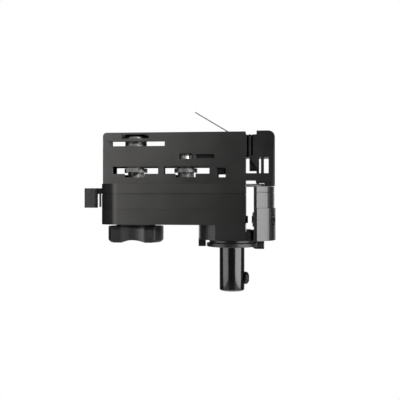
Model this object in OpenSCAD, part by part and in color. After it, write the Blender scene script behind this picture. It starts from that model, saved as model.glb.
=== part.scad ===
// Track light adapter: slim contact housing, base, dial, release handle and swivel stem.
// Origin on the stem axis at the shoulder that meets the track; +X to the handle, -Y the front.

/* [Base] */
// Width of the base
base_w = 32.5; // [32:0.5:36]
// Stem axis to the left end
base_left = 70.1; // [70:0.1:71.5]
// Radius of the upright corners at the left end
end_round = 7.5; // [6:0.5:8.5]
// Shoulder to the underside of the base
base_h = 21.8; // [20.3:0.5:22.8]
// Height of the shoulder flange of the upper body
flange_h = 5.4; // [5.2:0.1:6.5]
// Thickness of the moulded walls of the base
wall = 1.8; // [1.5:0.1:2]
// Stem axis to the flat right end of the base
body_end = 7.6; // [7.4:0.1:7.8]

/* [Slim housing] */
// Width of the housing inside the track
slim_w = 17; // [16.5:0.5:19]
// Height of the housing above the shoulder
slim_h = 27.9; // [27.5:0.1:31]
// Thickness of the housing walls
slim_wall = 1.6; // [1.3:0.1:1.8]
// Thickness of the housing roof
roof = 1.5; // [1.3:0.1:1.6]
// Radius of the upper corner at the left end
slim_corner = 2.2; // [1:0.2:4]

/* [Rotors] */
// Stem axis to the live rotor and dial
live_x = 53.2; // [52.8:0.1:53.6]
// Stem axis to the neutral rotor
neutral_x = 25.4; // [25.2:0.1:25.8]
// Radius of the rotor columns
column_r = 4.5; // [4:0.1:4.8]
// Radius of the rotor flanges
rotor_flange_r = 6.4; // [6:0.1:6.5]
// Reach of the locking cams
cam_r = 11.3; // [10.5:0.1:11.5]
// Width of the locking cams
cam_w = 6.6; // [5:0.2:7]
// Reach of the contact blades
blade_r = 14.4; // [12:0.2:14.6]
// Thickness of the contact blades
blade_t = 1.5; // [1:0.1:1.6]
// Teeth on each rotor gear
gear_teeth = 16; // [16:2:18]

/* [Dial] */
// Reach of the two wings
dial_r = 15.2; // [14:0.1:15.6]
// Width of the wings
dial_w = 19.2; // [17:0.2:20]
// Radius of the hub between the wings
dial_hub = 11.6; // [10.8:0.1:12.4]
// Height of the wing grip
dial_h = 8.8; // [8:0.1:10]
// Depth of the thumb groove under the grip
dial_groove = 1.45; // [0.8:0.05:1.6]
// Radius of the collar above the grip
collar_r = 10.8; // [9:0.1:11]

/* [Release handle] */
// Radius of the round end of the handle
handle_r = 16.25; // [16:0.05:17]
// Underside of the handle below the shoulder
handle_low = 30.3; // [29.8:0.1:31]
// Inner face of the handle from the stem axis
handle_face = 12.5; // [12.3:0.1:13]
// Thickness of the steel slide plate
plate_t = 1.5; // [1.2:0.1:1.6]
// Travel of the handle
handle_travel = 1.6; // [1:0.1:1.6]

/* [End tab] */
// Length of the finger tab beyond the left end
tab_reach = 11.3; // [9.6:0.1:13]
// Depth of the finger plate
tab_h = 10.8; // [8:0.2:14]
// Width of the tab where it enters the housing
tab_w = 10; // [8:0.2:11]

/* [Stem] */
// Radius of the stem
stem_r = 6.9; // [6.4:0.1:7.2]
// Lower end of the stem below the shoulder
stem_low = 58; // [56:0.5:70]
// Radius of the socket in the stem
socket_r = 5; // [4.5:0.1:5.2]
// Depth of the socket in the stem
socket_depth = 18; // [15:0.5:20]
// Radius of the swivel disc
disc_r = 13.75; // [12.5:0.05:13.9]
// Radius of the boss that carries the stem
boss_r = 18.2; // [17.8:0.1:19]
// Underside of the boss below the shoulder
boss_low = 29.9; // [29.3:0.1:30.1]

/* [Earth leaf] */
// Length of the leaf from its pin to its tip
leaf_len = 24.6; // [18:0.2:30]
// Rise of the leaf from the housing roof in degrees
leaf_rise = 31; // [26:1:36]
// Width of the leaf
leaf_w = 1.8; // [1.2:0.1:2.2]

/* [Hidden] */
$fn = 64;

// Clearances
run_fit = 0.05;
play = 0.3;
past = 1;

// Colours
black = "#2b2b2c";
deep_black = "#1a1a1b";
steel = "#9c9da0";
plated = "#c9c6bd";
brass = "#b89a58";

// Base
half_w = base_w / 2;
end_steps = 12;
top_wall = 2;
floor_z = -(base_h - wall);
seam_h = 0.3;
seam_in = 0.35;
line_z = -13.6;
line_h = 0.2;
line_in = 0.1;

// Housing
slim_half = slim_w / 2;
slim_in = slim_half - slim_wall;
slim_lead = 0.1;
slim_left = base_left - slim_lead;
slim_right = body_end;
slim_round = 0.6;
roof_z = slim_h - roof;

// Rotors
live_at = [-live_x, 0, 0];
neutral_at = [-neutral_x, 0, 0];
rotor_gap = live_x - neutral_x;
idler_at = [-(live_x + neutral_x) / 2, 0, 0];
pitch_r = rotor_gap / 4;
gear_h = 4;
gear_z = floor_z + 0.2;
tooth_t = PI * 2 * pitch_r / gear_teeth * 0.41;
tooth_add = 0.8;
tooth_ded = 1.1;
tooth_angle = 20;
axle_r = 4;
pivot_r = 2.2;
pivot_top = slim_h - 0.2;
column_top = roof_z - play;
cam_z = 6.2;
cam_h = 2.4;
slot_play = 0.7;
cam_slot_z = cam_z - slot_play;
cam_slot_h = cam_h + 2 * slot_play;
cam_slot_left = cam_r + 0.1;
cam_slot_back = cam_r + 1.3;
cam_slot_right = cam_r + 2.3;
step_h = 1.9;
step_left = 4.8;
step_right = 6.1;
blade_w = 4;
blade_root = 2.6;
blade_play = 0.5;
blade_slot_h = blade_t + 2 * blade_play;
live_blade_z = slim_h - 6.9;
live_slot_left = 13.9;
live_slot_back = slim_left - slim_wall - live_x - 0.2;
live_slot_right = blade_r + 2.8;
top_slot_z = slim_h - 3.3;
top_slot_h = 2.2;
top_slot_left = 6.5;
top_slot_right = 8.6;
drum_r = 6.05;
drum_z = 18.6;
neutral_blade_z = 14.2;
contact_r = 5.9;
contact_h = 2.6;
contact_z = 13.5;
contact_play = 0.1;
upper_column_r = 3.6;
neutral_slot_left = 2.8;
neutral_slot_back = 4.2;
neutral_slot_right = blade_r + 1.7;
pillar_x = 4.5;
pillar_w = 1.6;
dark_slot_h = 2.1;
neutral_pin_r = 2.5;
pin_lift = 0.1;
square_w = 5.4;
square_low = -27;

// Dial
dial_top = -(base_h + 1.2);
dial_low = dial_top - dial_h;
collar_gap = 0.2;
dial_edge = 1.3;
groove_r = 15.3;
screw_z = dial_low + dial_groove;
screw_r = 1.5;
screw_head_r = 2.8;
screw_head_h = 1.8;
screw_sink = 0.4;
screw_slot = 1.9;
screw_slot_w = 0.7;
screw_slot_h = 0.8;

// Handle and its slide
handle_centre = 7.5;
handle_flat = 1.45;
handle_wall = 2.65;
handle_top = -plate_t;
handle_step_z = -12.95;
handle_step = 0.65;
handle_line_z = -4.5;
handle_line_h = 0.35;
handle_line_in = 0.22;
handle_web = 1.8;
web_low = -24.9;
plate_half = 6;
plate_right = 17.5;
plate_left = -3;
plate_lug = 1.4;
plate_lug_low = -6;
flag_x = 9.5;
flag_right = 14.8;
flag_neck = 13.3;
flag_z = 7;
flag_top = 14;
rivet_x = 15.1;
rivet_y = 4;
rivet_r = 1.4;
rivet_head_r = 2;
rivet_head_h = 0.9;
block_y = -6.3;
block_z = -19.1;
block_r = 2;
block_low = 10.8;
key_r = 1.1;
key_h = 2;
block_high = 17;
pad_x = 11.2;
pad_r = 3.85;
tool_hole_r = 3.1;
bump_r = 1.95;
bump_x = 8.8;
spring_left = -12;
spring_r = 2.2;
spring_wire = 0.55;
spring_z = -3.4;
spring_turns = 6;
rib_w = 1.6;

// End frame
frame_right = 23.1;
frame_top = slim_h + 0.4;
frame_corner = 3.5;
frame_edge = 1.4;
frame_bottom = 2;
frame_step_x = 13;
frame_step_z = 0.6;
frame_leg_x = plate_right + 0.2;
frame_leg_z = handle_top + 0.4;
notch_x = 13.35;
notch_z = slim_h - 1.6;
window_x = slim_right;
window_right = 20;
window_z = 5.6;
window_top = 14.2;
bar_x = 15.8;
bar_w = 1.5;
wedge_x = 9.6;
wedge_right = 14.75;
wedge_low = 6.9;
wedge_lip = 0.4;
wedge_in = 4.5;
groove_d = 2.2;
groove_w = 1.1;
groove_spots = [window_x + 0.5, window_x + 2.7];

// Boss and swivel
tongue_x = 13.5;
tongue_half = 10;
ledge_x = 10.2;
ledge_top = -25.3;
neck_r = 4;
bore_r = 2.8;
disc_low = -33.9;
disc_h = 2.1;
hub_r = 12.4;
hub_top = -(boss_low + play);
lug_in = 10.5;
lug_out = 17.5;
lug_slope = 2;
lug_w = 6;
lug_top = -30.7;
lug_low = -35.2;
nub_in = disc_r + 0.55;
nub_w = 4.4;
nub_low = disc_low;
washer_t = 1;
nut_h = 4;
nut_wall = 1.1;
nut_r = body_end - nut_wall - 0.4;
nut_slot = 1.2;
clamp_z = -(stem_low - 6.8);
clamp_r = 2;
clamp_head_r = 3.4;
clamp_head_h = 2.6;
clamp_key_r = 1.4;
clamp_key_h = 1.4;
stem_edge = 0.9;
stem_top = floor_z + washer_t + nut_h + 1;
nut_lift = 0.1;
clamp_lift = 0.1;
clamp_wall = 0.35;

// Tab
tab_top = -2.2;
tab_strip = 3.1;
tab_left = -(base_left + tab_reach);
plate_x = -(base_left + 4);
slit_w = 0.6;
prong_w = 1;
prong_half = 4;
prong_low = tab_top - tab_h + 0.4;
tab_inner = -(base_left - 6.7);
hook_x = -(base_left - 3.1);
hook_half = tab_w / 2 + 1.3;
tab_lip = 0.2;
tab_step = 1.2;
tab_step_x = 3.6;
tab_step_run = 1.5;

// Earth leaf
pin_r = 0.9;
pin_x = 0.8;
pin_z = roof_z + 0.45;
pin_half = 3.6;
leaf_t = 0.5;
eye_r = 1.6;
leaf_slot_left = -12;
leaf_slot_right = 3.2;
boss_w = 4.4;
boss_drop = 1.6;

// Fixings
left_fix = -(base_left - 9.6);
right_fix = 1.4;
left_fix_y = 9.8;
right_fix_y = 11.6;
screw_spots = [[left_fix, left_fix_y], [left_fix, -left_fix_y], [right_fix, right_fix_y],
    [right_fix, -right_fix_y]];
post_r = 2.5;
post_low = -(flange_h + 6);
fix_r = 1.2;
fix_head_r = 2.2;
fix_head_h = 1.4;
fix_depth = 5;
fix_bore = 8;
fix_slot = 1.5;
fix_slot_w = 0.6;
fix_slot_h = 0.7;

// Terminals and the small window
live_terminal_z = 11;
live_terminal_h = 7;
live_terminal_run = 10;
neutral_terminal_z = neutral_blade_z - 1.6;
neutral_terminal_h = 4.8;
earth_terminal_x = -9.4;
earth_terminal_z = 5.5;
earth_terminal_w = 7;
earth_terminal_h = 6;
small_x = -7.7;
small_right = -3.1;
small_z = 3.5;
small_h = 5;

// Plan of the base: rounded corners at the left, square at the right
module base_plan(r, right) {
    inset = half_w - r;
    round_r = end_round - inset;
    centre_x = end_round - base_left;
    polygon(concat(
        [[right, r]],
        arc(centre_x, r - round_r, round_r, 90, 180, end_steps),
        arc(centre_x, round_r - r, round_r, 180, 270, end_steps),
        [[right, -r]]));
}

module base_slab(low, high, r, right) {
    translate([0, 0, low])
        linear_extrude(high - low)
            base_plan(r, right);
}

// A side outline in X and Z, drawn out across the width
module across(width) {
    rotate([90, 0, 0])
        linear_extrude(width, center = true)
            children();
}

function arc(x, z, r, from, to, steps = 6) =
    [for (i = [0:steps]) [x + r * cos(from + (to - from) * i / steps), z + r * sin(from + (to - from) * i / steps)]];

module slim_outline() {
    polygon(concat(
        [[-slim_left, -top_wall], [slim_right, -top_wall], [slim_right, slim_h]],
        arc(-slim_left + slim_corner, slim_h - slim_corner, slim_corner, 90, 180)));
}

module slim_plan() {
    polygon(concat(
        [[slim_right + past, slim_half]],
        arc(-slim_left + slim_round, slim_half - slim_round, slim_round, 90, 180),
        arc(-slim_left + slim_round, -slim_half + slim_round, slim_round, 180, 270),
        [[slim_right + past, -slim_half]]));
}

module slim_block() {
    intersection() {
        across(slim_w)
            slim_outline();
        translate([0, 0, -top_wall - past])
            linear_extrude(slim_h + top_wall + 2 * past)
                slim_plan();
    }
}

module frame_outline() {
    polygon(concat(
        [[slim_right - slim_wall, frame_bottom], [frame_step_x, frame_bottom], [frame_step_x, frame_step_z],
         [frame_leg_x, frame_step_z], [frame_leg_x, frame_leg_z], [frame_right, frame_leg_z]],
        arc(frame_right - frame_corner, frame_top - frame_corner, frame_corner, 0, 90),
        [[notch_x, frame_top], [notch_x, notch_z], [slim_right - slim_wall, notch_z]]));
}

module frame_plan() {
    polygon(concat(
        [[slim_right - slim_wall - past, -slim_half]],
        arc(frame_right - frame_edge, -slim_half + frame_edge, frame_edge, -90, 0),
        arc(frame_right - frame_edge, slim_half - frame_edge, frame_edge, 0, 90),
        [[slim_right - slim_wall - past, slim_half]]));
}

// A slot from x to right and z to top; side -1 cuts the front wall, 1 the back wall, 0 both
module slot(x, right, z, height, side = 0) {
    depth = slim_half + past;
    low_y = side > 0 ? 0 : -depth;
    high_y = side < 0 ? 0 : depth;
    translate([x, low_y, z])
        cube([right - x, high_y - low_y, height]);
}

module end_frame() {
    difference() {
        intersection() {
            across(slim_w)
                frame_outline();
            translate([0, 0, frame_leg_z - past])
                linear_extrude(frame_top - frame_leg_z + 2 * past)
                    frame_plan();
        }
        slot(window_x, bar_x, window_z, window_top - window_z);
        slot(bar_x + bar_w, window_right, window_z, window_top - window_z);
        translate([flag_neck - handle_travel - play, -plate_t / 2 - play, frame_step_z - past])
            cube([flag_right - flag_neck + handle_travel + 2 * play, plate_t + 2 * play,
                window_z - frame_step_z + 2 * past]);
        for (side = [-1, 1])
            for (x = groove_spots)
                translate([x, side * slim_half - groove_d, window_top - past])
                    cube([groove_w, 2 * groove_d, slim_h]);
    }
    translate([0, -(slim_half + wedge_in) / 2, 0])
        across(slim_half - wedge_in)
            polygon([[wedge_x, window_top + past], [wedge_right, window_top + past], [wedge_right, wedge_low],
                [wedge_x, window_top - wedge_lip]]);
}

module contact_slots() {
    slot(-live_x - top_slot_left, -live_x + top_slot_right, top_slot_z, top_slot_h, -1);
    slot(-live_x - live_slot_left, -live_x + live_slot_right, live_blade_z - blade_play, blade_slot_h, -1);
    slot(-live_x - live_slot_back, -live_x + live_slot_right, live_blade_z - blade_play, blade_slot_h, 1);
    slot(-neutral_x - neutral_slot_left, -neutral_x + pillar_x, contact_z - contact_play,
        contact_h + 2 * contact_play, -1);
    slot(-neutral_x + pillar_x + pillar_w, -neutral_x + neutral_slot_right, neutral_blade_z - blade_play,
        dark_slot_h, -1);
    slot(-neutral_x - neutral_slot_back, -neutral_x + neutral_slot_right, neutral_blade_z - blade_play,
        blade_slot_h, 1);
    for (x = [-live_x, -neutral_x]) {
        slot(x - cam_slot_left, x + cam_slot_right, cam_slot_z, cam_slot_h, -1);
        slot(x - cam_slot_back, x + cam_slot_right, cam_slot_z, cam_slot_h, 1);
        slot(x - step_left, x + step_right, cam_slot_z - step_h, step_h + past);
    }
    slot(small_x, small_right, small_z, small_h);
}

// Moulded housing with its shoulder flange and open end frame
module upper_body() {
    color(black) {
        difference() {
            union() {
                base_slab(-flange_h, 0, half_w, body_end);
                slim_block();
                end_frame();
            }
            base_slab(-flange_h - past, -top_wall, half_w - wall, body_end - wall);
            translate([-slim_left + slim_wall, -slim_in, -top_wall - past])
                cube([slim_left + slim_right - 2 * slim_wall, 2 * slim_in, roof_z + top_wall + past]);
            contact_slots();
            translate([pin_x, 0, pin_z])
                rotate([90, 0, 0])
                    cylinder(r = pin_r, h = 2 * pin_half, center = true);
            for (x = [-live_x, -neutral_x])
                translate([x, 0, roof_z - past])
                    cylinder(r = pivot_r + run_fit, h = roof + 2 * past);
            translate([leaf_slot_left, -leaf_w / 2 - play, roof_z - past])
                cube([leaf_slot_right - leaf_slot_left, leaf_w + 2 * play, roof + 2 * past]);
            translate([body_end - wall - past, -plate_half - play, -plate_t - play])
                cube([wall + slim_right + past, 2 * (plate_half + play), plate_t + 2 * play]);
            translate([-base_left - past, -tab_w / 2 - play, tab_top - tab_strip - play])
                cube([wall + 2 * past + 2, tab_w + 2 * play, tab_strip + 2 * play]);
        }
        difference() {
            for (side = [-1, 1])
                translate([pin_x - boss_w / 2, side > 0 ? leaf_w / 2 + play : -slim_in, roof_z - boss_drop])
                    cube([boss_w, slim_in - leaf_w / 2 - play, boss_drop + roof / 2]);
            translate([pin_x, 0, pin_z])
                rotate([90, 0, 0])
                    cylinder(r = pin_r, h = 2 * pin_half, center = true);
        }
        translate([spring_left - rib_w, -slim_in, plate_lug_low])
            cube([rib_w, 2 * slim_in, -plate_lug_low]);
        difference() {
            for (spot = screw_spots)
                translate([spot[0], spot[1], post_low])
                    cylinder(r = post_r, h = -post_low - top_wall / 2);
            for (spot = screw_spots)
                translate([spot[0], spot[1], post_low - past])
                    cylinder(r = fix_r, h = fix_bore);
        }
    }
}

module boss_plan() {
    intersection() {
        circle(r = boss_r);
        translate([-boss_r - past, -half_w])
            square([2 * (boss_r + past), base_w]);
    }
}

// Moulded base cover with the round boss of the stem
module lower_cover() {
    color(black)
        difference() {
            union() {
                base_slab(-base_h, -flange_h - seam_h, half_w, body_end);
                base_slab(-flange_h - seam_h, -flange_h, half_w - seam_in, body_end - seam_in);
                intersection() {
                    translate([0, 0, -boss_low])
                        linear_extrude(boss_low - base_h + wall)
                            boss_plan();
                    translate([-boss_r - past, -half_w, -boss_low])
                        cube([boss_r + past + body_end, base_w, boss_low]);
                }
                intersection() {
                    translate([0, 0, -boss_low])
                        linear_extrude(boss_low + ledge_top)
                            boss_plan();
                    translate([0, -half_w, -boss_low])
                        cube([ledge_x, base_w, boss_low]);
                }
                translate([0, -tongue_half, -boss_low])
                    cube([tongue_x, 2 * tongue_half, boss_low + ledge_top]);
                translate([-boss_r, -nub_w / 2, nub_low])
                    cube([boss_r - nub_in, nub_w, -nub_low - boss_low + past]);
                translate([body_end - past, block_y, block_z])
                    rotate([0, 90, 0])
                        cylinder(r = bump_r, h = bump_x - body_end + past);
                for (spot = screw_spots)
                    translate([spot[0], spot[1], -base_h])
                        cylinder(r = post_r, h = base_h + post_low);
            }
            difference() {
                base_slab(floor_z, -flange_h + past, half_w - wall, body_end - wall);
                for (spot = screw_spots)
                    translate([spot[0], spot[1], floor_z - past])
                        cylinder(r = post_r, h = post_low - floor_z + past);
            }
            difference() {
                base_slab(line_z - line_h, line_z, half_w + past, body_end + past);
                base_slab(line_z - past, line_z + past, half_w - line_in, body_end - line_in);
            }
            translate([0, -nut_r - past, floor_z])
                cube([body_end - nut_wall, 2 * (nut_r + past), washer_t + nut_h + 2 * past]);
            translate(live_at + [0, 0, -base_h - past])
                cylinder(r = axle_r + run_fit, h = wall + 2 * past);
            translate(neutral_at + [0, 0, -base_h - past])
                cylinder(r = neutral_pin_r + run_fit, h = wall + 2 * past);
            translate(idler_at + [0, 0, -base_h - past])
                cylinder(r = neutral_pin_r, h = wall + 2 * past);
            translate([0, 0, -boss_low - past])
                cylinder(r = neck_r + run_fit, h = boss_low);
            for (spot = screw_spots)
                translate([spot[0], spot[1], -base_h - past]) {
                    cylinder(r = fix_r, h = base_h);
                    cylinder(r = fix_head_r, h = fix_head_h + past);
                }
        }
}

// Crossed driver slot in the underside of a screw head
module driver_slot(reach, width, depth) {
    for (turn = [0, 90])
        rotate([0, 0, turn])
            translate([-reach, -width / 2, -past])
                cube([2 * reach, width, past + depth]);
}

module cover_screws() {
    color(steel)
        for (spot = screw_spots)
            translate([spot[0], spot[1], -base_h])
                difference() {
                    union() {
                        cylinder(r = fix_head_r, h = fix_head_h);
                        cylinder(r = fix_r, h = base_h + post_low + fix_depth);
                    }
                    driver_slot(fix_slot, fix_slot_w, fix_slot_h);
                }
}

module grip_plan() {
    circle(r = dial_hub);
    intersection() {
        circle(r = dial_r);
        translate([-dial_r - past, -dial_w / 2])
            square([2 * (dial_r + past), dial_w]);
    }
}

// Hand dial: two wings on a round hub, with a shallow thumb groove underneath
module dial() {
    color(black)
        difference() {
            union() {
                translate([-live_x, 0, dial_low])
                    intersection() {
                        linear_extrude(dial_h)
                            grip_plan();
                        rotate_extrude()
                            polygon([[0, 0], [dial_r - dial_edge, 0], [dial_r + past, dial_edge + past],
                                [dial_r + past, dial_h], [0, dial_h]]);
                    }
                translate([-live_x, 0, dial_top - past])
                    cylinder(r = collar_r, h = -base_h - collar_gap - dial_top + past);
            }
            translate([-live_x, 0, screw_z - groove_r])
                rotate([90, 0, 0])
                    cylinder(r = groove_r, h = 2 * (dial_r + past), center = true);
            translate([-live_x - square_w / 2, -square_w / 2, square_low])
                cube([square_w, square_w, -square_low]);
            translate([-live_x, 0, screw_z - past])
                cylinder(r = screw_r + run_fit, h = dial_h);
            translate([-live_x, 0, screw_z - past])
                cylinder(r = screw_head_r + run_fit, h = screw_head_h + past);
        }
}

module dial_screw() {
    color(steel)
        translate([-live_x, 0, screw_z + screw_sink])
            difference() {
                union() {
                    cylinder(r = screw_head_r, h = screw_head_h - screw_sink);
                    cylinder(r = screw_r, h = dial_top - screw_z - screw_sink);
                }
                driver_slot(screw_slot, screw_slot_w, screw_slot_h);
            }
}

module gear_outline() {
    half_root = tooth_t / 2 + tooth_ded * tan(tooth_angle);
    half_tip = tooth_t / 2 - tooth_add * tan(tooth_angle);
    root_r = pitch_r - tooth_ded;
    tip_r = pitch_r + tooth_add;
    root_turn = half_root / root_r * 180 / PI;
    tip_turn = half_tip / tip_r * 180 / PI;
    flank = [[root_r, -root_turn], [tip_r, -tip_turn], [tip_r, tip_turn], [root_r, root_turn]];
    polygon([for (i = [0:gear_teeth - 1]) for (p = flank)
        p[0] * [cos(p[1] + i * 360 / gear_teeth), sin(p[1] + i * 360 / gear_teeth)]]);
}

module cam(turn) {
    rotate([0, 0, turn])
        translate([0, 0, cam_z])
            linear_extrude(cam_h)
                intersection() {
                    circle(r = cam_r);
                    translate([0, -cam_w / 2])
                        square([cam_r + past, cam_w]);
                }
}

module blade_bar() {
    translate([-blade_w / 2, blade_root, 0])
        cube([blade_w, blade_r - blade_root, blade_t]);
}

// Column, gear and pivots that both rotors share
module rotor(foot_r, foot_low) {
    translate([0, 0, gear_z])
        linear_extrude(gear_h)
            gear_outline();
    translate([0, 0, gear_z])
        cylinder(r = column_r, h = cam_z - gear_z + past);
    translate([0, 0, cam_z])
        cylinder(r = rotor_flange_r, h = cam_h);
    translate([0, 0, foot_low])
        cylinder(r = foot_r, h = gear_z - foot_low + past);
    translate([0, 0, column_top - past])
        cylinder(r = pivot_r, h = pivot_top - column_top + past);
}

module live_rotor() {
    color(deep_black)
        translate(live_at)
            difference() {
                union() {
                    rotor(axle_r, -base_h - collar_gap);
                    cylinder(r = column_r, h = column_top);
                    translate([0, 0, drum_z])
                        cylinder(r = drum_r, h = column_top - drum_z);
                    cam(-90);
                    translate([-square_w / 2, -square_w / 2, square_low])
                        cube([square_w, square_w, -square_low - base_h]);
                }
                translate([0, 0, live_blade_z])
                    blade_bar();
                translate([0, 0, square_low - past])
                    cylinder(r = screw_r, h = dial_top - square_low + past);
            }
}

module live_blade() {
    color(plated)
        translate(live_at + [0, 0, live_blade_z])
            blade_bar();
}

module neutral_rotor() {
    color(deep_black)
        translate(neutral_at) {
            rotor(neutral_pin_r, -base_h + pin_lift);
            cylinder(r = column_r, h = contact_z);
            cylinder(r = blade_root, h = column_top);
            translate([0, 0, contact_z + contact_h])
                cylinder(r = upper_column_r, h = column_top - contact_z - contact_h);
            cam(90);
        }
}

// Plated ring on the neutral rotor with its contact blade
module neutral_contact() {
    color(plated)
        translate(neutral_at)
            difference() {
                union() {
                    translate([0, 0, contact_z])
                        cylinder(r = contact_r, h = contact_h);
                    translate([0, 0, neutral_blade_z])
                        blade_bar();
                }
                translate([0, 0, contact_z - past])
                    cylinder(r = blade_root, h = contact_h + 2 * past);
            }
}

module idler_gear() {
    color(deep_black)
        translate(idler_at + [0, 0, gear_z])
            difference() {
                linear_extrude(gear_h)
                    rotate(180 / gear_teeth)
                        gear_outline();
                translate([0, 0, -past])
                    cylinder(r = neutral_pin_r + run_fit, h = gear_h + 2 * past);
            }
}

module idler_pin() {
    color(steel)
        translate(idler_at + [0, 0, -base_h + pin_lift])
            cylinder(r = neutral_pin_r, h = wall + gear_h + past);
}

// Fixed contact spring in front of the live rotor
module live_terminal() {
    color(brass)
        translate([-live_x - column_r, -slim_in, live_terminal_z])
            cube([2 * column_r + live_terminal_run, slim_in - column_r - play, live_terminal_h]);
}

// Moulded contact carrier behind the middle slot
module neutral_terminal() {
    color(deep_black)
        translate([-neutral_x + contact_r + play, -slim_in, neutral_terminal_z])
            cube([neutral_slot_right - contact_r, slim_in - blade_w, neutral_terminal_h]);
}

module leaf_outline() {
    rotate(-leaf_rise)
        difference() {
            union() {
                circle(r = eye_r);
                translate([-leaf_len, -leaf_t / 2])
                    square([leaf_len, leaf_t]);
            }
            circle(r = pin_r + run_fit);
        }
}

module earth_leaf() {
    color(steel)
        translate([pin_x, 0, pin_z])
            across(leaf_w)
                leaf_outline();
}

module earth_pin() {
    color(steel)
        translate([pin_x, 0, pin_z])
            rotate([90, 0, 0])
                cylinder(r = pin_r, h = 2 * pin_half, center = true);
}

module earth_terminal() {
    color(deep_black)
        translate([earth_terminal_x, -slim_in, earth_terminal_z])
            cube([earth_terminal_w, 2 * slim_in, earth_terminal_h]);
}

module handle_plan(r, face) {
    intersection() {
        translate([handle_centre, 0])
            circle(r = r);
        translate([face, handle_flat - r])
            square([2 * r, 2 * (r - handle_flat)]);
    }
}

module handle_slab(low, high, r, face) {
    translate([0, 0, low])
        linear_extrude(high - low)
            handle_plan(r, face);
}

// Round end of the base, pressed towards the body to free the adapter
module release_handle() {
    inner_r = handle_r - handle_wall;
    color(black)
        difference() {
            union() {
                handle_slab(-handle_low, handle_step_z, handle_r, handle_face);
                handle_slab(handle_step_z, handle_top, handle_r - handle_step, handle_face);
                translate([pad_x, block_y, block_z])
                    rotate([0, 90, 0])
                        cylinder(r = pad_r, h = handle_face - pad_x + handle_web / 2);
            }
            handle_slab(-handle_low - past, handle_top - handle_web, inner_r, handle_face + handle_web);
            handle_slab(-handle_low - past, web_low, inner_r, handle_face - past);
            difference() {
                handle_slab(handle_line_z - handle_line_h, handle_line_z, handle_r + past, handle_face - past);
                handle_slab(handle_line_z - past, handle_line_z + past, handle_r - handle_step - handle_line_in,
                    handle_face - 2 * past);
            }
            translate([handle_face + handle_web + past, block_y, block_z])
                rotate([0, 90, 0])
                    cylinder(r = tool_hole_r, h = 2 * handle_r);
            translate([pad_x - past, block_y, block_z])
                rotate([0, 90, 0])
                    cylinder(r = block_r, h = handle_r);
            for (y = [-rivet_y, rivet_y])
                translate([rivet_x, y, handle_top - handle_web - rivet_head_h - play]) {
                    cylinder(r = rivet_r, h = handle_web + rivet_head_h + 2 * past);
                    cylinder(r = rivet_head_r + play / 2, h = rivet_head_h + play);
                }
        }
}

// Steel slide that carries the handle and its upturned flag
module slide_plate() {
    color(steel)
        difference() {
            union() {
                translate([plate_left, -plate_half, -plate_t])
                    cube([plate_right - plate_left, 2 * plate_half, plate_t]);
                translate([plate_left, -plate_half, plate_lug_low])
                    cube([plate_lug, 2 * plate_half, -plate_lug_low]);
                translate([flag_neck, -plate_t / 2, -plate_t])
                    cube([flag_right - flag_neck, plate_t, flag_top + plate_t]);
                translate([flag_x, -plate_t / 2, flag_z])
                    cube([flag_right - flag_x, plate_t, flag_top - flag_z]);
            }
            for (y = [-rivet_y, rivet_y])
                translate([rivet_x, y, -plate_t - past])
                    cylinder(r = rivet_r, h = plate_t + 2 * past);
        }
}

module plate_rivets() {
    color(steel)
        for (y = [-rivet_y, rivet_y])
            translate([rivet_x, y, handle_top - handle_web]) {
                cylinder(r = rivet_r, h = handle_web + plate_t);
                translate([0, 0, -rivet_head_h])
                    cylinder(r = rivet_head_r, h = rivet_head_h);
            }
}

function coil_point(i, steps, turn_steps, length) =
    [spring_left + spring_wire / 2 + (length - spring_wire) * i / steps,
     spring_r * cos(360 * i / turn_steps), spring_z + spring_r * sin(360 * i / turn_steps)];

// Coil that returns the handle
module handle_spring() {
    sides = 6;
    turn_steps = 12;
    steps = spring_turns * turn_steps;
    length = plate_left - spring_left;
    rings = [for (i = [0:steps]) for (s = [0:sides - 1])
        coil_point(i, steps, turn_steps, length)
            + spring_wire / 2 * cos(360 * s / sides) * [1, 0, 0]
            + spring_wire / 2 * sin(360 * s / sides)
                * [0, cos(360 * i / turn_steps), sin(360 * i / turn_steps)]];
    tube = [for (i = [0:steps - 1]) for (s = [0:sides - 1])
        [i * sides + s, (i + 1) * sides + s, (i + 1) * sides + (s + 1) % sides, i * sides + (s + 1) % sides]];
    first = [for (s = [0:sides - 1]) s];
    last = [for (s = [sides - 1:-1:0]) steps * sides + s];
    color(steel)
        polyhedron(rings, concat(tube, [first, last]));
}

module blocking_screw() {
    color(steel)
        translate([block_low, block_y, block_z])
            rotate([0, 90, 0])
                difference() {
                    cylinder(r = block_r, h = block_high - block_low);
                    translate([0, 0, block_high - block_low - key_h])
                        cylinder(r = key_r, h = key_h + past, $fn = 6);
                }
}

module tab_plan() {
    wide = tab_w / 2 + tab_lip;
    slim = wide - tab_step;
    step = tab_left + tab_step_x;
    polygon([[tab_left, -slim], [step, -slim], [step + tab_step_run, -wide], [plate_x, -wide],
        [plate_x, wide], [step + tab_step_run, wide], [step, slim], [tab_left, slim]]);
}

// Finger tab with a moulded spring prong
module end_tab() {
    color(black) {
        translate([0, 0, tab_top - tab_h])
            linear_extrude(tab_h)
                tab_plan();
        translate([plate_x - past, -tab_w / 2, tab_top - tab_strip])
            cube([tab_inner - plate_x + past, tab_w, tab_strip]);
        translate([hook_x, -hook_half, tab_top - tab_strip])
            cube([tab_inner - hook_x, 2 * hook_half, tab_strip]);
        translate([plate_x + slit_w, -prong_half, prong_low])
            cube([prong_w, 2 * prong_half, tab_top - tab_strip / 2 - prong_low]);
    }
}

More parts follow.
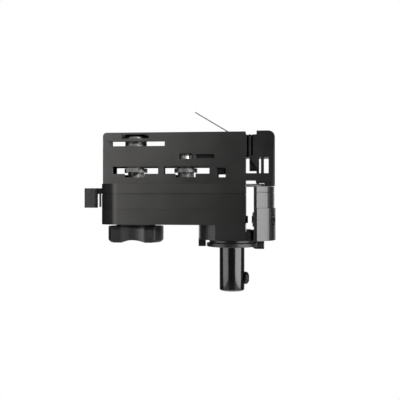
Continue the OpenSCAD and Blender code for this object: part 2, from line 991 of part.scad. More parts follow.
// Disc that turns with the stem, with its stop lug
module swivel_disc() {
    color(deep_black)
        difference() {
            union() {
                translate([0, 0, disc_low])
                    cylinder(r = disc_r, h = disc_h);
                translate([0, 0, disc_low + disc_h - past])
                    cylinder(r = hub_r, h = hub_top - disc_low - disc_h + past);
                across(lug_w)
                    polygon([[lug_in, lug_top], [lug_out, lug_top], [lug_out, lug_low],
                        [lug_in + lug_slope, lug_low], [lug_in, disc_low]]);
            }
            translate([0, 0, disc_low - past])
                cylinder(r = neck_r + run_fit, h = 2 * past - disc_low);
        }
}

// Turned stem with a socket for the lamp
module stem() {
    color(deep_black)
        difference() {
            translate([0, 0, -stem_low])
                rotate_extrude()
                    polygon([[0, 0], [stem_r - stem_edge, 0], [stem_r - stem_edge / 3, stem_edge / 3], [stem_r, stem_edge],
                        [stem_r, stem_low + disc_low], [neck_r, stem_low + disc_low],
                        [neck_r, stem_low + stem_top], [0, stem_low + stem_top]]);
            translate([0, 0, -stem_low - past])
                cylinder(r = socket_r, h = socket_depth + past);
            translate([0, 0, -stem_low])
                cylinder(r = bore_r, h = 2 * stem_low);
            translate([0, 0, clamp_z])
                rotate([0, 90, 0])
                    cylinder(r = clamp_r, h = 2 * stem_r);
        }
}

module stem_washer() {
    color(steel)
        translate([0, 0, floor_z + nut_lift])
            difference() {
                cylinder(r = nut_r, h = washer_t);
                translate([0, 0, -past])
                    cylinder(r = neck_r + run_fit, h = washer_t + 2 * past);
            }
}

module stem_nut() {
    color(steel)
        translate([0, 0, floor_z + nut_lift + washer_t])
            difference() {
                cylinder(r = nut_r, h = nut_h);
                translate([-nut_r - past, -nut_slot / 2, nut_h - nut_slot])
                    cube([2 * (nut_r + past), nut_slot, 2 * nut_slot]);
                translate([0, 0, -past])
                    cylinder(r = neck_r, h = nut_h + 2 * past);
            }
}

module clamp_screw() {
    color(deep_black)
        translate([0, 0, clamp_z])
            rotate([0, 90, 0])
                difference() {
                    union() {
                        translate([0, 0, socket_r + clamp_lift])
                            cylinder(r = clamp_r, h = stem_r - socket_r + 2 * clamp_lift);
                        translate([0, 0, stem_r])
                            rotate_extrude()
                                polygon(concat([[0, 0], [clamp_head_r, 0], [clamp_head_r, clamp_head_h * clamp_wall]],
                                    [for (a = [30:15:75]) [clamp_head_r * cos(a),
                                        clamp_head_h * (clamp_wall + (1 - clamp_wall) * sin(a))]],
                                    [[0, clamp_head_h]]));
                    }
                    translate([0, 0, stem_r + clamp_head_h - clamp_key_h])
                        cylinder(r = clamp_key_r, h = clamp_key_h + past, $fn = 6);
                }
}

upper_body();
lower_cover();
cover_screws();
dial();
dial_screw();
live_rotor();
live_blade();
live_terminal();
idler_gear();
idler_pin();
neutral_rotor();
neutral_contact();
neutral_terminal();
earth_leaf();
earth_pin();
earth_terminal();
release_handle();
slide_plate();
plate_rivets();
handle_spring();
blocking_screw();
end_tab();
swivel_disc();
stem();
stem_washer();
stem_nut();
clamp_screw();
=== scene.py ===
import math

import bmesh
import bpy
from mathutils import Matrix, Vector


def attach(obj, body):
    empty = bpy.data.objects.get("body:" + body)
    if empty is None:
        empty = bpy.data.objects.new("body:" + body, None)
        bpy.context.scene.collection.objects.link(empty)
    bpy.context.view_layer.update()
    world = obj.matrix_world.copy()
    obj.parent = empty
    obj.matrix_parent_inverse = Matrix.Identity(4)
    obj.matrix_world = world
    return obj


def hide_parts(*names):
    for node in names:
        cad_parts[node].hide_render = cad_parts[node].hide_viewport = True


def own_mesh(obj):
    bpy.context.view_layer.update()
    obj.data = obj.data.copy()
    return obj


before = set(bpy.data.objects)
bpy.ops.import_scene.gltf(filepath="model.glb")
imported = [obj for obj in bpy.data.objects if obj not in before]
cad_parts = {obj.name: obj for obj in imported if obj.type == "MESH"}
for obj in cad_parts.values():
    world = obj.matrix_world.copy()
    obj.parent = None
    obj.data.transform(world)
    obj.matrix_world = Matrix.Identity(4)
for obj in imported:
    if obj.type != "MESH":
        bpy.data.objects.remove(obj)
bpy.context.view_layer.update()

MM = 0.001


# Upper body: one black moulding that enters the track, with contact slots, a shoulder flange and an
# open end frame. Glass-filled plastic from a spark-eroded tool, so it has a fine even grain and
# small rounded edges. Screwed to the base cover from below.
class Wire:
    """A socket in a node tree; arithmetic on it adds Math nodes."""

    def __init__(self, tree, socket=None):
        self.tree = tree
        self.socket = socket

    def node(self, kind, settings=None, inputs=None, out=0):
        """Adds any node: its settings first, then the values or links of its sockets."""
        made = self.tree.nodes.new(kind)
        for name, value in (settings or {}).items():
            setattr(made, name, value)
        for name, value in (inputs or {}).items():
            if isinstance(value, Wire):
                self.tree.links.new(value.socket, made.inputs[name])
            else:
                made.inputs[name].default_value = value
        return Wire(self.tree, made.outputs[out] if made.outputs else None)

    def _math(self, operation, first, second):
        return self.node("ShaderNodeMath", {"operation": operation}, {0: first, 1: second})

    def __add__(self, other):
        return self._math("ADD", self, other)

    __radd__ = __add__

    def __sub__(self, other):
        return self._math("SUBTRACT", self, other)

    def __rsub__(self, other):
        return self._math("SUBTRACT", other, self)

    def __mul__(self, other):
        return self._math("MULTIPLY", self, other)

    __rmul__ = __mul__


def blank_material(name):
    """A material with no nodes yet, and a wire to start its tree from."""
    made = bpy.data.materials.new(name)
    made.use_nodes = True
    made.node_tree.nodes.clear()
    return made, Wire(made.node_tree)


def finish_material(start, shader_inputs):
    shader = start.node("ShaderNodeBsdfPrincipled", {}, shader_inputs)
    start.node("ShaderNodeOutputMaterial", {}, {"Surface": shader})


def noise(start, place, per_metre, detail, rough=0.5):
    return start.node("ShaderNodeTexNoise", {}, {
        "Vector": place, "Scale": per_metre, "Detail": detail, "Roughness": rough})


def blend_colours(start, factor, dark, pale):
    return start.node("ShaderNodeMix", {"data_type": "RGBA"}, {
        "Factor": factor, "A": (*dark, 1.0), "B": (*pale, 1.0)}, out="Result")


def ramp_between(start, value, zero_mm, one_mm):
    """0 at one place along an axis and 1 at another, clamped outside them."""
    return start.node("ShaderNodeMapRange", {}, {
        "Value": value, "From Min": zero_mm * MM, "From Max": one_mm * MM})


NOISE_MIDDLE = 0.5
CLOUDS_PER_M = 60.0
SCUFFS_PER_M = 320.0
SCUFF_ROUGHNESS = 0.7
CLOUD_WEAR = 0.10
SCUFF_WEAR = 0.12
GRAIN_WEAR = 0.05
GRAIN_STRENGTH = 0.35


def plastic_surface(start, place, rough, grain_per_m, grain_depth_mm):
    """Slow clouds for the colour, the worn roughness of a plastic, and the bump of its mould's grain."""
    cloud = noise(start, place, CLOUDS_PER_M, 4.0)
    grain = noise(start, place, grain_per_m, 2.0)
    scuffs = noise(start, place, SCUFFS_PER_M, 6.0, SCUFF_ROUGHNESS)
    worn = (rough + CLOUD_WEAR * (cloud - NOISE_MIDDLE) + SCUFF_WEAR * (scuffs - NOISE_MIDDLE)
            + GRAIN_WEAR * (grain - NOISE_MIDDLE))
    bumped = start.node("ShaderNodeBump", {}, {
        "Strength": GRAIN_STRENGTH, "Distance": grain_depth_mm * MM, "Height": grain})
    return cloud, worn, bumped


# Places on the housing in millimetres, each as where a look starts and where it is full
BELOW_SHOULDER_Z = (0.05, -0.05)
# The rounded end of the base and the ledge beside the handle's gap are rougher and get painted shade
# that darkens their colour
ROUNDED_END_X = (-61.9, -63.4)
# A painted highlight runs in a narrow band where the rounded end of the base begins
HIGHLIGHT_RIGHT_X = (-60.2, -60.9)
HIGHLIGHT_LEFT_X = (-62.3, -61.8)
LEDGE_X = (7.7, 8.1)
LEDGE_Z = (-14.0, -14.4)
BOSS_Z = (-21.7, -22.0)
# Painted light: the colour turns paler towards the left end, standing in for light falling there
PAINTED_LIGHT_X = (20.0, -70.0)
HOUSING_DARK = (0.004, 0.0039, 0.0038)
HOUSING_PALE = (0.064, 0.0625, 0.06)
GREY_EVERYWHERE = 0.1
GREY_PAINTED_LIGHT = 0.62
GREY_PAINTED_HIGHLIGHT = 0.35
GREY_CLOUD = 0.4
HOUSING_ROUGH = 0.46
DULL_ROUGH = 0.4
HOUSING_SHINE = 0.3
BOSS_COAT_ROUGH = 0.25
HOUSING_GRAIN_PER_M = 3600.0
HOUSING_GRAIN_DEPTH = 0.05


def housing_plastic():
    """Dark plastic with painted light that makes it greyer to the left, and a painted highlight
    beside the rounded end of the base.

    The rounded end and the ledge beside the gap are dull and darkened with painted shade, and the
    boss is glossier.
    """
    made, start = blank_material("housing_plastic")
    place = start.node("ShaderNodeTexCoord", out="Object")
    along = start.node("ShaderNodeSeparateXYZ", {}, {"Vector": place}, out="X")
    height = start.node("ShaderNodeSeparateXYZ", {}, {"Vector": place}, out="Z")
    below = ramp_between(start, height, *BELOW_SHOULDER_Z)
    rounded_end = below * ramp_between(start, along, *ROUNDED_END_X)
    # painted highlight beside the rounded end of the base
    painted_highlight = below * ramp_between(start, along, *HIGHLIGHT_RIGHT_X) * ramp_between(start, along, *HIGHLIGHT_LEFT_X)
    ledge = ramp_between(start, along, *LEDGE_X) * ramp_between(start, height, *LEDGE_Z)
    # rougher, and darkened to the dark colour as painted shade, at the rounded end and the ledge
    dull_and_painted_shade = rounded_end + ledge
    boss = ramp_between(start, height, *BOSS_Z)
    # painted light, paler towards the left end
    painted_light = ramp_between(start, along, *PAINTED_LIGHT_X)
    cloud, worn, bumped = plastic_surface(
        start, place, HOUSING_ROUGH + DULL_ROUGH * dull_and_painted_shade, HOUSING_GRAIN_PER_M, HOUSING_GRAIN_DEPTH)
    grey = GREY_EVERYWHERE + GREY_PAINTED_LIGHT * painted_light + GREY_PAINTED_HIGHLIGHT * painted_highlight + GREY_CLOUD * (cloud - NOISE_MIDDLE)
    tone = grey * (1.0 - dull_and_painted_shade)
    finish_material(start, {
        "Base Color": blend_colours(start, tone, HOUSING_DARK, HOUSING_PALE),
        "Roughness": worn,
        "Coat Weight": boss * (1.0 - ledge),
        "Coat Roughness": BOSS_COAT_ROUGH,
        "Specular IOR Level": HOUSING_SHINE,
        "Normal": bumped,
    })
    return made


MERGE_MM = 0.004


def merged_copy(node, name):
    """A copy of a CAD node's mesh with its loose triangles joined."""
    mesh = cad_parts[node].data.copy()
    mesh.name = name
    shape = bmesh.new()
    shape.from_mesh(mesh)
    bmesh.ops.remove_doubles(shape, verts=shape.verts, dist=MERGE_MM * MM)
    shape.to_mesh(mesh)
    shape.free()
    mesh.materials.clear()
    made = bpy.data.objects.new(name, mesh)
    bpy.context.scene.collection.objects.link(made)
    return made


SAME_FLAT_COSINE = 0.99999


def crease_flats(mesh, least_mm2):
    """Sharp edges round every large flat, so that its shading stays even beside a rounded corner."""
    shape = bmesh.new()
    shape.from_mesh(mesh)
    flat_of = {}
    areas = []
    for first in shape.faces:
        if first in flat_of:
            continue
        flat_of[first] = len(areas)
        areas.append(0.0)
        waiting = [first]
        while waiting:
            face = waiting.pop()
            areas[-1] += face.calc_area()
            for edge in face.edges:
                for other in edge.link_faces:
                    if other not in flat_of and other.normal.dot(face.normal) > SAME_FLAT_COSINE:
                        flat_of[other] = flat_of[first]
                        waiting.append(other)
    for edge in shape.edges:
        flats = {flat_of[face] for face in edge.link_faces}
        if len(flats) == 2 and max(areas[flat] for flat in flats) > least_mm2 * MM * MM:
            edge.smooth = False
    shape.to_mesh(mesh)
    shape.free()


EDGE_ANGLE = math.radians(32.0)


def soften(made, edge_mm, steps=2, flat_mm2=60.0):
    """Small rounded edges, as a mould leaves them, and even shading on the flats."""
    mesh = made.data
    mesh.shade_smooth()
    mesh.set_sharp_from_angle(angle=EDGE_ANGLE)
    crease_flats(mesh, flat_mm2)
    bevel = made.modifiers.new("edge", "BEVEL")
    bevel.width = edge_mm * MM
    bevel.segments = steps
    bevel.limit_method = "ANGLE"
    bevel.angle_limit = EDGE_ANGLE
    bevel.harden_normals = True
    bevel.use_clamp_overlap = False
    bevel.loop_slide = False


def settle(made, body, slot, material, *nodes):
    """Gives a piece its material, puts it on the body that carries it, and hides the nodes it stands
    for.
    """
    made.data.materials.clear()
    made.data.materials.append(material)
    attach(made, body)
    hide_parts(*nodes)


# The top edge of the back wall's slot is raised, so that light shows past the plated ring
NEAR_MM = 0.05
BACK_WALL_Y = 6.5
BACK_SLOT_TOP = 23.0
BACK_SLOT_RAISED = 24.4
shell_plastic = housing_plastic()
upper_shell = merged_copy("upper_body", "upper_shell")
for point in upper_shell.data.vertices:
    if point.co.y / MM > BACK_WALL_Y and abs(point.co.z / MM - BACK_SLOT_TOP) < NEAR_MM:
        point.co.z = BACK_SLOT_RAISED * MM
soften(upper_shell, edge_mm=0.15)
settle(upper_shell, "housing", "housing", shell_plastic, "upper_body")


# Base cover: black moulding of the same plastic under the shoulder, with the round boss that carries
# the stem. A shadow line parts it from the upper body, and a faint line runs round its middle.
base_shell = merged_copy("lower_cover", "base_shell")
soften(base_shell, edge_mm=0.08)
settle(base_shell, "housing", "housing", shell_plastic, "lower_cover")


# Dial: black moulded wing grip under the left end, turned by hand to bring the contacts round. It is
# screwed to the live rotor from below.
def moulded_plastic(name, dark, pale, rough, grain_mm, grain_depth_mm,
                    coat=0.0, coat_rough=0.03, shine=0.5, bend=1.5):
    """Plastic or lacquer between two colours, with its mould's grain and, where it is glossy, a coat."""
    made, start = blank_material(name)
    place = start.node("ShaderNodeTexCoord", out="Object")
    cloud, worn, bumped = plastic_surface(start, place, rough, 1.0 / (grain_mm * MM), grain_depth_mm)
    finish_material(start, {
        "Base Color": blend_colours(start, cloud, dark, pale),
        "Roughness": worn,
        "Normal": bumped,
        "Coat Weight": coat,
        "Coat Roughness": coat_rough,
        "Specular IOR Level": shine,
        "IOR": bend,
    })
    return made


dial_plastic = moulded_plastic("dial_plastic", (0.012, 0.0118, 0.0115), (0.02, 0.0196, 0.019),
                               rough=0.42, grain_mm=0.25, grain_depth_mm=0.05)
dial_grip = merged_copy("dial", "dial_grip")
soften(dial_grip, edge_mm=0.35, steps=3)
settle(dial_grip, "dial_shaft", "housing", dial_plastic, "dial")


# Rotors and idler gear: dark grey glossy moulded pieces inside the housing, seen through its slots.
# They run in the roof and in the floor of the base, and their toothed rims turn each other.
rotor_plastic = moulded_plastic("rotor_plastic", (0.08, 0.0785, 0.077), (0.12, 0.118, 0.115),
                                rough=0.3, grain_mm=0.5, grain_depth_mm=0.02, coat=0.8)
rotor_bodies = {"live_rotor": "dial_shaft", "neutral_rotor": "neutral_shaft", "idler_gear": "idler"}
for node, body in rotor_bodies.items():
    piece = merged_copy(node, node + "_moulding")
    soften(piece, edge_mm=0.15)
    settle(piece, body, "inner_plastic", rotor_plastic, node)


# Terminal blocks of the neutral and the earth: black moulded blocks pushed into the housing. They
# close two of its slots, which look black from the front, and their colour is darkened to near black
# as painted shade in those slots.
shaded_block_plastic = moulded_plastic("shaded_block_plastic", (0.002, 0.002, 0.002), (0.004, 0.004, 0.004),
                                rough=0.7, grain_mm=0.5, grain_depth_mm=0.03, shine=0.2)
for node in ("neutral_terminal", "earth_terminal"):
    piece = merged_copy(node, node + "_block")
    soften(piece, edge_mm=0.15)
    settle(piece, "housing", "inner_plastic", shaded_block_plastic, node)


# Contacts: the live blade and the neutral ring with its blade are plated copper alloy, pressed from
# strip and pushed onto the rotors.
LINES_PER_M = 900.0
STAINS_PER_M = 140.0
LINE_WEAR = 0.14
STAIN_WEAR = 0.08
LINE_STRENGTH = 0.2
LINE_DEPTH = 0.02
DULL_LOSS = 0.75
DULL_RAMP = 1.0


def polished_metal(name, dark, pale, rough, streak, dull_from_mm=None):
    """Metal with fine lines along one axis, which may turn dull and pale above a height."""
    made, start = blank_material(name)
    place = start.node("ShaderNodeTexCoord", out="Object")
    stretched = start.node("ShaderNodeMapping", {}, {"Vector": place, "Scale": streak})
    lines = noise(start, stretched, LINES_PER_M, 3.0)
    stains = noise(start, place, STAINS_PER_M, 3.0)
    metallic = 1.0
    if dull_from_mm is not None:
        height = start.node("ShaderNodeSeparateXYZ", {}, {"Vector": place}, out="Z")
        metallic = 1.0 - DULL_LOSS * ramp_between(start, height, dull_from_mm, dull_from_mm + DULL_RAMP)
    bumped = start.node("ShaderNodeBump", {}, {
        "Strength": LINE_STRENGTH, "Distance": LINE_DEPTH * MM, "Height": lines})
    finish_material(start, {
        "Base Color": blend_colours(start, stains, dark, pale),
        "Metallic": metallic,
        "Roughness": rough + LINE_WEAR * (lines - NOISE_MIDDLE) + STAIN_WEAR * (stains - NOISE_MIDDLE),
        "Normal": bumped,
    })
    return made


plating = polished_metal("plating", (0.8, 0.79, 0.76), (0.92, 0.91, 0.88),
                         rough=0.34, streak=(1.0, 1.0, 0.15))
for node, body in (("live_blade", "dial_shaft"), ("neutral_contact", "neutral_shaft")):
    piece = merged_copy(node, node + "_plated")
    soften(piece, edge_mm=0.12)
    settle(piece, body, "plated", plating, node)


# Live terminal: a fixed block of brass beside the live rotor, where the live wire would end. It is
# pushed into the housing.
brass = polished_metal("brass", (0.5, 0.36, 0.15), (0.62, 0.47, 0.22),
                       rough=0.34, streak=(0.2, 1.0, 1.0))
live_terminal = merged_copy("live_terminal", "live_terminal_brass")
soften(live_terminal, edge_mm=0.2)
settle(live_terminal, "housing", "brass", brass, "live_terminal")


# Earth leaf and the pins: the leaf is a thin strip of spring steel rolled round a pin in the roof, and
# stands up to touch the track first. The idler gear turns on a pin of the same steel.
spring_steel = polished_metal("spring_steel", (0.3, 0.3, 0.3), (0.42, 0.42, 0.42),
                              rough=0.36, streak=(0.12, 1.0, 1.0))
for node, body, edge_mm in (("earth_leaf", "leaf", 0.06),
                            ("earth_pin", "housing", 0.15),
                            ("idler_pin", "housing", 0.15)):
    piece = merged_copy(node, node + "_steel")
    soften(piece, edge_mm)
    settle(piece, body, "steel", spring_steel, node)


# Release handle: the round end of the base, moulded apart in glossy plastic and riveted to a steel
# slide. Pressed in, it frees the adapter; the bore in its round wall leads to the blocking screw.
# Its front and back walls are drawn a little nearer the base than the solid, as the gap looks narrow.
WALL_START_X = 14.3
WALL_END_X = 20.0
WALL_FROM_Y = 11.0
WALL_SHIFT = 0.6
FACET_MM2 = 3.0
handle_plastic = moulded_plastic("handle_plastic", (0.003, 0.003, 0.003), (0.006, 0.006, 0.006),
                                 rough=0.34, grain_mm=0.28, grain_depth_mm=0.03,
                                 coat=1.0, coat_rough=0.24, shine=1.0, bend=1.7)
handle_shell = merged_copy("release_handle", "handle_shell")
for point in handle_shell.data.vertices:
    share = (WALL_END_X - point.co.x / MM) / (WALL_END_X - WALL_START_X)
    if abs(point.co.y / MM) > WALL_FROM_Y:
        point.co.x -= min(1.0, max(0.0, share)) * WALL_SHIFT * MM
soften(handle_shell, edge_mm=0.1, flat_mm2=FACET_MM2)
settle(handle_shell, "handle", "housing", handle_plastic, "release_handle")


# Slide plate and blocking screw: bent steel strip, bright from its plating, with a duller upturned flag,
# and a dark steel screw with its pad. The plate is riveted to the handle and slides in the housing.
FLAG_FROM_Z = 5.0
bright_steel = polished_metal("bright_steel", (0.5, 0.5, 0.505), (0.62, 0.62, 0.625),
                              rough=0.42, streak=(0.1, 1.0, 1.0), dull_from_mm=FLAG_FROM_Z)
dark_steel = polished_metal("dark_steel", (0.03, 0.03, 0.03), (0.06, 0.06, 0.06),
                            rough=0.5, streak=(1.0, 1.0, 0.2))
for node, material in (("slide_plate", bright_steel), ("blocking_screw", dark_steel)):
    piece = merged_copy(node, node + "_steel")
    soften(piece, edge_mm=0.15)
    settle(piece, "handle", "steel", material, node)


# Plate rivets: two turned steel rivets with cone heads under the handle's web. They hold the slide
# plate to the handle and end flush with the plate's top.
def grown_piece(name, spots_mm, sizes_mm, shape_of, material):
    """A plain mesh of one shape set at each spot, made by a node tree with its sizes as named inputs."""
    tree = bpy.data.node_groups.new(name + "_tree", "GeometryNodeTree")
    tree.interface.new_socket("Spots", in_out="INPUT", socket_type="NodeSocketGeometry")
    keys = {}
    for label in sizes_mm:
        entrance = tree.interface.new_socket(label, in_out="INPUT", socket_type="NodeSocketFloat")
        keys[label] = entrance.identifier
    tree.interface.new_socket("Made", in_out="OUTPUT", socket_type="NodeSocketGeometry")
    entry = tree.nodes.new("NodeGroupInput")
    start = Wire(tree)
    size = {label: Wire(tree, entry.outputs[label]) for label in sizes_mm}
    spots = Wire(tree, entry.outputs["Spots"])
    points = start.node("GeometryNodeMeshToPoints", {}, {"Mesh": spots})
    placed = start.node("GeometryNodeInstanceOnPoints", {}, {
        "Points": points, "Instance": shape_of(start, size)})
    plain = start.node("GeometryNodeRealizeInstances", {}, {"Geometry": placed})
    painted = start.node("GeometryNodeSetMaterial", {}, {"Geometry": plain, "Material": material})
    start.node("NodeGroupOutput", {}, {"Made": painted})
    seeds = bpy.data.meshes.new(name + "_spots")
    seeds.from_pydata([Vector(spot) * MM for spot in spots_mm], [], [])
    holder = bpy.data.objects.new(name + "_holder", seeds)
    bpy.context.scene.collection.objects.link(holder)
    maker = holder.modifiers.new("grow", "NODES")
    maker.node_group = tree
    for label, value in sizes_mm.items():
        maker[keys[label]] = value * MM
    grown = holder.evaluated_get(bpy.context.evaluated_depsgraph_get())
    mesh = bpy.data.meshes.new_from_object(grown)
    holder.modifiers.remove(maker)
    bpy.data.objects.remove(holder)
    made = bpy.data.objects.new(name, mesh)
    bpy.context.scene.collection.objects.link(made)
    return made


ROUND_SIDES = 40


def raised(start, shape, height):
    lift = start.node("ShaderNodeCombineXYZ", {}, {"Z": height})
    return start.node("GeometryNodeTransform", {}, {"Geometry": shape, "Translation": lift})


def round_bar(start, radius, low, length):
    """An upright bar whose lower end is at the height low."""
    bar = start.node("GeometryNodeMeshCylinder", {}, {
        "Vertices": ROUND_SIDES, "Radius": radius, "Depth": length})
    return raised(start, bar, low + 0.5 * length)


def joined(start, *shapes):
    """Several shapes as one, all linked to the one socket of the node that joins them."""
    together = start.tree.nodes.new("GeometryNodeJoinGeometry")
    for shape in shapes:
        start.tree.links.new(shape.socket, together.inputs[0])
    return Wire(start.tree, together.outputs[0])


def cone_rivet(start, size):
    head = start.node("GeometryNodeMeshCone", {}, {
        "Vertices": ROUND_SIDES,
        "Radius Bottom": size["Tip radius"],
        "Radius Top": size["Head radius"],
        "Depth": size["Head height"],
    })
    shank = round_bar(start, size["Shank radius"], 0.0, size["Shank length"])
    return joined(start, raised(start, head, -1.0 * size["Head height"]), shank)


RIVET_X = 15.1
RIVET_Y = 4.0
WEB_UNDERSIDE = -3.3
rivet_sizes = {
    "Head radius": 2.0,
    "Tip radius": 1.5,
    "Head height": 0.9,
    "Shank radius": 1.4,
    "Shank length": 3.3,
}
plate_steel = polished_metal("plate_steel", (0.4, 0.4, 0.405), (0.52, 0.52, 0.525),
                             rough=0.42, streak=(0.1, 1.0, 1.0))
rivet_spots = [(RIVET_X, side * RIVET_Y, WEB_UNDERSIDE) for side in (-1.0, 1.0)]
rivets = grown_piece("plate_rivets_steel", rivet_spots, rivet_sizes, cone_rivet, plate_steel)
soften(rivets, edge_mm=0.08)
settle(rivets, "handle", "steel", plate_steel, "plate_rivets")


# Handle spring: six turns of spring wire that lie along the slide and push the handle back out. In the
# part its left end stays on the housing, so it shortens as the handle is pressed in; here it is one
# fixed shape carried by the handle.
COIL_TURNS = 6.0
STEPS_A_TURN = 28
WIRE_SIDES = 12


def wire_coil(start, size):
    path = start.node("GeometryNodeCurveSpiral", {}, {
        "Resolution": STEPS_A_TURN,
        "Rotations": COIL_TURNS,
        "Start Radius": size["Coil radius"],
        "End Radius": size["Coil radius"],
        "Height": size["Coil length"],
    })
    section = start.node("GeometryNodeCurvePrimitiveCircle", {}, {
        "Resolution": WIRE_SIDES, "Radius": size["Wire radius"]})
    coil = start.node("GeometryNodeCurveToMesh", {}, {
        "Curve": path, "Profile Curve": section, "Fill Caps": True})
    lying = (0.0, math.radians(90.0), 0.0)
    return start.node("GeometryNodeTransform", {}, {"Geometry": coil, "Rotation": lying})


COIL_LEFT = -12.0
COIL_RIGHT = -3.0
COIL_Z = -3.4
WIRE_RADIUS = 0.275
coil_sizes = {
    "Coil radius": 2.2,
    "Coil length": COIL_RIGHT - COIL_LEFT - 2.0 * WIRE_RADIUS,
    "Wire radius": WIRE_RADIUS,
}
coil_spots = [(COIL_LEFT + WIRE_RADIUS, 0.0, COIL_Z)]
coil = grown_piece("handle_spring_wire", coil_spots, coil_sizes, wire_coil, plate_steel)
coil.data.shade_smooth()
settle(coil, "handle", "steel", plate_steel, "handle_spring")
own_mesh(coil)


# End tab: black moulded finger tab at the left end, with a spring prong behind it that bears on the
# base. Here the prong is thinner than the solid and the plate's inner face slants, so that light shows
# on both sides of the prong.
PLATE_INNER_X = -74.1
PLATE_INNER_SEEN = -73.3
PLATE_HALF = 6.3
PLATE_SLANT = 0.26
PRONG_SEEN = {-73.5: -73.75, -72.5: -73.1}
PRONG_HALF = 1.2
tab_plastic = moulded_plastic("tab_plastic", (0.022, 0.0217, 0.021), (0.032, 0.0315, 0.0305),
                              rough=0.42, grain_mm=0.28, grain_depth_mm=0.05)
tab_piece = merged_copy("end_tab", "tab_piece")
for point in tab_piece.data.vertices:
    along_mm = point.co.x / MM
    across_mm = point.co.y / MM
    if abs(along_mm - PLATE_INNER_X) < NEAR_MM:
        point.co.x = (PLATE_INNER_SEEN - PLATE_SLANT * (across_mm + PLATE_HALF)) * MM
    for prong_x, seen_x in PRONG_SEEN.items():
        if abs(along_mm - prong_x) < NEAR_MM:
            point.co.x = seen_x * MM
            point.co.y = math.copysign(min(abs(across_mm), PRONG_HALF), across_mm) * MM
soften(tab_piece, edge_mm=0.15)
settle(tab_piece, "tab", "housing", tab_plastic, "end_tab")


# Swivel: black moulded disc with a stop lug, glossy lacquered metal stem with a socket for the lamp,
# and its domed clamp screw. A steel ring nut and a washer hold the stem in the boss.
disc_plastic = moulded_plastic("disc_plastic", (0.012, 0.012, 0.012), (0.02, 0.02, 0.02),
                               rough=0.36, grain_mm=0.3, grain_depth_mm=0.03,
                               coat=0.5, coat_rough=0.3, shine=0.8)
stem_lacquer = moulded_plastic("stem_lacquer", (0.004, 0.004, 0.004), (0.007, 0.007, 0.007),
                               rough=0.2, grain_mm=0.9, grain_depth_mm=0.002,
                               coat=1.0, shine=1.0, bend=1.6)
screw_black = moulded_plastic("screw_black", (0.006, 0.006, 0.006), (0.012, 0.012, 0.012),
                              rough=0.38, grain_mm=0.5, grain_depth_mm=0.02)
for node, edge_mm, slot, material in (("swivel_disc", 0.3, "inner_plastic", disc_plastic),
                                      ("stem", 0.2, "stem_metal", stem_lacquer),
                                      ("clamp_screw", 0.2, "stem_metal", screw_black)):
    piece = merged_copy(node, node + "_black")
    soften(piece, edge_mm)
    settle(piece, "swivel", slot, material, node)
for node in ("stem_washer", "stem_nut"):
    piece = merged_copy(node, node + "_steel")
    soften(piece, edge_mm=0.15)
    settle(piece, "swivel", "steel", plate_steel, node)


# Screws from below: four in the base cover and a larger one in the dial, zinc-plated steel with crossed
# slots. The four are alike, so they are one shape set at four spots.
SLOT_REACH = 1.4


def crossed_screw(start, size):
    quarter_turn = (0.0, 0.0, math.radians(90.0))
    head = round_bar(start, size["Head radius"], 0.0, size["Head height"])
    bar = start.node("ShaderNodeCombineXYZ", {}, {
        "X": SLOT_REACH * size["Head radius"],
        "Y": size["Slot width"],
        "Z": 2.0 * size["Slot depth"],
    })
    slot = start.node("GeometryNodeMeshCube", {}, {"Size": bar})
    across = start.node("GeometryNodeTransform", {}, {"Geometry": slot, "Rotation": quarter_turn})
    cross = joined(start, slot, across)
    cut = start.node("GeometryNodeMeshBoolean", {"operation": "DIFFERENCE"}, {0: head, 1: cross})
    shank = round_bar(start, size["Shank radius"], size["Head height"], size["Shank length"])
    return joined(start, cut, shank)


BASE_UNDERSIDE = -21.8
SCREW_PLACES = ((-60.5, 9.8), (1.4, 11.6))
screw_sizes = {
    "Head radius": 2.2,
    "Head height": 1.4,
    "Slot width": 0.7,
    "Slot depth": 0.8,
    "Shank radius": 1.2,
    "Shank length": 14.0,
}
screw_spots = [(x, side * y, BASE_UNDERSIDE) for x, y in SCREW_PLACES for side in (-1.0, 1.0)]
screws = grown_piece("cover_screws_zinc", screw_spots, screw_sizes, crossed_screw, plate_steel)
soften(screws, edge_mm=0.08)
settle(screws, "housing", "steel", plate_steel, "cover_screws")
dial_screw = merged_copy("dial_screw", "dial_screw_zinc")
soften(dial_screw, edge_mm=0.1)
settle(dial_screw, "dial_shaft", "steel", plate_steel, "dial_screw")


# Studio: a pale floor well below the part, two tall soft lamps at the sides, a weaker one above, a
# soft beam towards the left end, and a white room behind the part. The room behind the camera is dim,
# as the photograph's gloss shows.
WHITE = (1.0, 1.0, 1.0, 1.0)
FLOOR_GREY = (0.8, 0.8, 0.8, 1.0)
FLOOR_HALF_M = 1.2
FLOOR_Z_M = -1.1


def ray_is(start, kind):
    return start.node("ShaderNodeLightPath", out="Is " + kind + " Ray")


def mix_shaders(start, factor, first, second):
    return start.node("ShaderNodeMixShader", {}, {0: factor, 1: first, 2: second})


def pale_floor():
    """White to the camera and in reflections, and pale grey to the light."""
    made, start = blank_material("pale_floor")
    seen = ray_is(start, "Camera") + ray_is(start, "Glossy") + ray_is(start, "Transmission")
    diffuse = start.node("ShaderNodeBsdfDiffuse", {}, {"Color": FLOOR_GREY})
    white = start.node("ShaderNodeEmission", {}, {"Color": WHITE, "Strength": 1.0})
    start.node("ShaderNodeOutputMaterial", {}, {"Surface": mix_shaders(start, seen, diffuse, white)})
    return made


floor_mesh = bpy.data.meshes.new("floor")
floor_ways = ((-1, -1), (1, -1), (1, 1), (-1, 1))
floor_corners = [(x * FLOOR_HALF_M, y * FLOOR_HALF_M, FLOOR_Z_M) for x, y in floor_ways]
floor_mesh.from_pydata(floor_corners, [], [(0, 1, 2, 3)])
floor_mesh.materials.append(pale_floor())
floor = bpy.data.objects.new("floor", floor_mesh)
bpy.context.scene.collection.objects.link(floor)

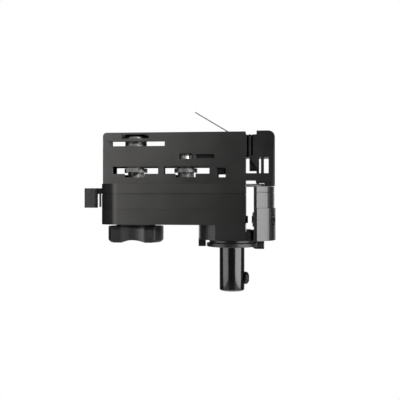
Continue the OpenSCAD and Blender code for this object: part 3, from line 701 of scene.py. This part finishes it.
# How squarely a reflected ray must point away from the camera to meet the white of the room
BEHIND_START = 0.75
BEHIND_FULL = 0.98
DIM_COLOUR = (0.9, 0.95, 1.0, 1.0)
DIM_STRENGTH = 0.025
world = bpy.data.worlds.new("studio")
bpy.context.scene.world = world
world.use_nodes = True
world.node_tree.nodes.clear()
room = Wire(world.node_tree)
direction = room.node("ShaderNodeTexCoord", out="Generated")
away = room.node("ShaderNodeSeparateXYZ", {}, {"Vector": direction}, out="Y")
behind = room.node("ShaderNodeMapRange", {}, {
    "Value": away, "From Min": BEHIND_START, "From Max": BEHIND_FULL})
shown = ray_is(room, "Camera") + behind * (ray_is(room, "Glossy") + ray_is(room, "Transmission"))
dim = room.node("ShaderNodeBackground", {}, {"Color": DIM_COLOUR, "Strength": DIM_STRENGTH})
bright = room.node("ShaderNodeBackground", {}, {"Color": WHITE, "Strength": 1.0})
room.node("ShaderNodeOutputWorld", {}, {"Surface": mix_shaders(room, shown, dim, bright)})


def lamp_at(name, data, place, aim):
    lamp = bpy.data.objects.new(name, data)
    lamp.location = place
    lamp.rotation_euler = (aim - place).to_track_quat("-Z", "Y").to_euler()
    bpy.context.scene.collection.objects.link(lamp)


def soft_lamp(name, place, aim, size_m, watts):
    data = bpy.data.lights.new(name, "AREA")
    data.shape = "RECTANGLE"
    data.size, data.size_y = size_m
    data.energy = watts
    lamp_at(name, data, place, aim)


MIDDLE_M = Vector((-0.02, 0.0, -0.01))
LAMP_DISTANCE_M = 1.0
SIDE_LAMP_HEIGHT_M = 0.05
TOP_LAMP_OFFSET_M = Vector((0.0, -0.3, 1.1))


def round_the_part(angle_deg, height_m):
    """A place at the lamps' distance, by its angle from the front and its height above the middle."""
    turn = math.radians(angle_deg)
    outwards = Vector((math.sin(turn), -math.cos(turn), 0.0)) * LAMP_DISTANCE_M
    return MIDDLE_M + outwards + Vector((0.0, 0.0, height_m))


soft_lamp("left_box", round_the_part(-60.0, SIDE_LAMP_HEIGHT_M), MIDDLE_M, (1.05, 1.3), watts=4.5)
soft_lamp("right_box", round_the_part(63.0, SIDE_LAMP_HEIGHT_M), MIDDLE_M, (1.15, 1.3), watts=9.5)
soft_lamp("top_box", MIDDLE_M + TOP_LAMP_OFFSET_M, MIDDLE_M, (1.0, 0.8), watts=2.0)

BEAM_ANGLE_DEG = 35.0
BEAM_HEIGHT_M = 0.4
BEAM_AIM_M = Vector((-0.122, 0.0, 0.045))
beam_data = bpy.data.lights.new("left_end_beam", "SPOT")
beam_data.energy = 155.0
beam_data.spot_size = math.radians(12.0)
beam_data.spot_blend = 1.0
beam_data.shadow_soft_size = 0.08
lamp_at("left_end_beam", beam_data, round_the_part(BEAM_ANGLE_DEG, BEAM_HEIGHT_M), BEAM_AIM_M)


# Camera: nearly straight on to the front and level with the base, as in the photograph. It stands a
# little to the right and is turned to the left, so that the right end shows some of its side.
SENSOR_MM = 36.0
SPAN_MM = 220.0
DISTANCE_MM = 341.0
AIM_X = -17.6
AIM_Z = -8.7
CAMERA_TURN = math.radians(5.2)
camera_data = bpy.data.cameras.new("camera")
camera_data.sensor_width = SENSOR_MM
camera_data.sensor_height = SENSOR_MM
camera_data.lens = SENSOR_MM * DISTANCE_MM / SPAN_MM
camera = bpy.data.objects.new("camera", camera_data)
bpy.context.scene.collection.objects.link(camera)
bpy.context.scene.camera = camera
camera_place = Vector((
    AIM_X + DISTANCE_MM * math.sin(CAMERA_TURN),
    -DISTANCE_MM * math.cos(CAMERA_TURN),
    AIM_Z,
))
camera.location = camera_place * MM
camera.rotation_euler = (math.radians(90.0), 0.0, CAMERA_TURN)
bpy.context.scene.view_settings.view_transform = "Standard"
